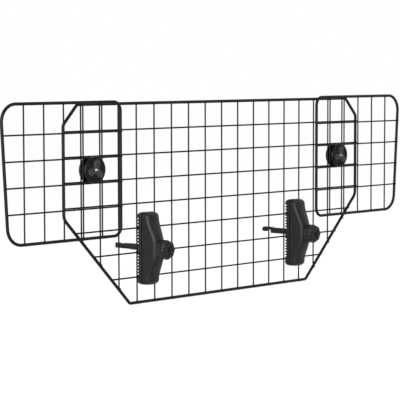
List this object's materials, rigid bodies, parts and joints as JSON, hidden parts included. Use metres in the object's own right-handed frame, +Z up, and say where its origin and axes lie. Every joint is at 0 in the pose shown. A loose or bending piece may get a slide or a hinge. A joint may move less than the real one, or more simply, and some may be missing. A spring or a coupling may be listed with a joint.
{
  "type": "dog safety gate",
  "caption": "Wire mesh dog guard for a car: a centre panel with two sliding mesh wings, and two clamps with hook bolts that catch the headrest posts.",
  "frame": {"origin": "midway across, in the plane of the centre frame rod, level with the two hook bolts that hang the guard on the headrest posts", "axes": "+X across the car to the right as seen from the boot, +Y forward toward the seats, +Z up"},
  "size_m": [1.2078, 0.1554, 0.415],
  "materials": {
    "coated_steel": "black powder coat, soft gloss",
    "disc_plastic": "glossy black moulded plastic",
    "jaw_plastic": "satin charcoal moulded plastic",
    "sleeve_plastic": "matt black extruded plastic",
    "zinc_steel": "bright zinc plate"
  },
  "bodies": {
    "centre_panel": {"centre_frame_rod": "coated_steel", "centre_upright_wire_1": "coated_steel", "centre_upright_wire_2": "coated_steel", "centre_upright_wire_3": "coated_steel", "centre_upright_wire_4": "coated_steel", "centre_upright_wire_5": "coated_steel", "centre_upright_wire_6": "coated_steel", "centre_upright_wire_7": "coated_steel", "centre_upright_wire_8": "coated_steel", "centre_upright_wire_9": "coated_steel", "centre_upright_wire_10": "coated_steel", "centre_upright_wire_11": "coated_steel", "centre_upright_wire_12": "coated_steel", "centre_upright_wire_13": "coated_steel", "centre_upright_wire_14": "coated_steel", "centre_upright_wire_15": "coated_steel", "centre_upright_wire_16": "coated_steel", "centre_upright_wire_17": "coated_steel", "centre_level_wire_1": "coated_steel", "centre_level_wire_2": "coated_steel", "centre_level_wire_3": "coated_steel", "centre_level_wire_4": "coated_steel", "centre_level_wire_5": "coated_steel", "centre_level_wire_6": "coated_steel", "centre_level_wire_7": "coated_steel"},
    "left_wing": {"left_wing_frame_rod": "coated_steel", "left_wing_upright_wire_1": "coated_steel", "left_wing_upright_wire_2": "coated_steel", "left_wing_upright_wire_3": "coated_steel", "left_wing_upright_wire_4": "coated_steel", "left_wing_upright_wire_5": "coated_steel", "left_wing_level_wire_1": "coated_steel", "left_wing_level_wire_2": "coated_steel", "left_wing_level_wire_3": "coated_steel", "left_wing_level_wire_4": "coated_steel"},
    "left_wing_knob": {"left_knob_disc": "disc_plastic"},
    "left_wing_clamp": {"left_backing_disc": "disc_plastic", "left_clamp_bolt": "zinc_steel"},
    "right_wing": {"right_wing_frame_rod": "coated_steel", "right_wing_upright_wire_1": "coated_steel", "right_wing_upright_wire_2": "coated_steel", "right_wing_upright_wire_3": "coated_steel", "right_wing_upright_wire_4": "coated_steel", "right_wing_upright_wire_5": "coated_steel", "right_wing_level_wire_1": "coated_steel", "right_wing_level_wire_2": "coated_steel", "right_wing_level_wire_3": "coated_steel", "right_wing_level_wire_4": "coated_steel"},
    "right_wing_knob": {"right_knob_disc": "disc_plastic"},
    "right_wing_clamp": {"right_backing_disc": "disc_plastic", "right_clamp_bolt": "zinc_steel"},
    "left_headrest_jaw": {"left_jaw": "jaw_plastic"},
    "left_headrest_knob": {"left_jaw_knob": "jaw_plastic"},
    "left_headrest_sleeve": {"left_guide_sleeve": "sleeve_plastic"},
    "left_headrest_hook": {"left_hook_bolt": "coated_steel"},
    "right_headrest_jaw": {"right_jaw": "jaw_plastic"},
    "right_headrest_knob": {"right_jaw_knob": "jaw_plastic"},
    "right_headrest_sleeve": {"right_guide_sleeve": "sleeve_plastic"},
    "right_headrest_hook": {"right_hook_bolt": "coated_steel"}
  },
  "joints": [
    {"name": "left_wing_slide", "type": "slide", "parent": "centre_panel", "child": "left_wing", "axis": [-1, 0, 0], "range_m": [-0.018, 0.018]},
    {"name": "left_wing_knob_turn", "type": "hinge", "parent": "left_wing", "child": "left_wing_knob", "pos_m": [-0.375, -0.0095, 0.1656], "axis": [0, -1, 0], "range_deg": [0, 1801]},
    {"name": "left_wing_clamp_travel", "type": "slide", "parent": "left_wing", "child": "left_wing_clamp", "axis": [0, 1, 0], "range_m": [0, 0.00625]},
    {"name": "right_wing_slide", "type": "slide", "parent": "centre_panel", "child": "right_wing", "axis": [1, 0, 0], "range_m": [-0.018, 0.018]},
    {"name": "right_wing_knob_turn", "type": "hinge", "parent": "right_wing", "child": "right_wing_knob", "pos_m": [0.375, -0.0095, 0.1656], "axis": [0, -1, 0], "range_deg": [0, 1801]},
    {"name": "right_wing_clamp_travel", "type": "slide", "parent": "right_wing", "child": "right_wing_clamp", "axis": [0, 1, 0], "range_m": [0, 0.00625]},
    {"name": "left_jaw_slide", "type": "slide", "parent": "centre_panel", "child": "left_headrest_jaw", "axis": [1, 0, 0], "range_m": [-0.0115, 0.0215]},
    {"name": "left_jaw_knob_turn", "type": "hinge", "parent": "left_headrest_jaw", "child": "left_headrest_knob", "pos_m": [-0.23, -0.052, 0], "axis": [0, 1, 0], "range_deg": [-721, 5761]},
    {"name": "left_hook_draw", "type": "slide", "parent": "left_headrest_jaw", "child": "left_headrest_sleeve", "axis": [0, -1, 0], "range_m": [-0.0025, 0.02]},
    {"name": "left_hook_swivel", "type": "hinge", "parent": "left_headrest_sleeve", "child": "left_headrest_hook", "pos_m": [-0.23, 0, 0], "axis": [0, 1, 0], "continuous": true},
    {"name": "right_jaw_slide", "type": "slide", "parent": "centre_panel", "child": "right_headrest_jaw", "axis": [1, 0, 0], "range_m": [-0.0145, 0.0185]},
    {"name": "right_jaw_knob_turn", "type": "hinge", "parent": "right_headrest_jaw", "child": "right_headrest_knob", "pos_m": [0.223, -0.052, 0], "axis": [0, 1, 0], "range_deg": [-721, 5761]},
    {"name": "right_hook_draw", "type": "slide", "parent": "right_headrest_jaw", "child": "right_headrest_sleeve", "axis": [0, -1, 0], "range_m": [-0.0025, 0.02]},
    {"name": "right_hook_swivel", "type": "hinge", "parent": "right_headrest_sleeve", "child": "right_headrest_hook", "pos_m": [0.223, 0, 0], "axis": [0, 1, 0], "continuous": true}
  ],
  "couplings": [
    {"joint": "left_wing_knob_turn", "follows": "left_wing_clamp_travel", "rad_per_m": 5026.5},
    {"joint": "right_wing_knob_turn", "follows": "right_wing_clamp_travel", "rad_per_m": 5026.5},
    {"joint": "left_jaw_knob_turn", "follows": "left_hook_draw", "rad_per_m": 5026.5},
    {"joint": "right_jaw_knob_turn", "follows": "right_hook_draw", "rad_per_m": 5026.5}
  ]
}
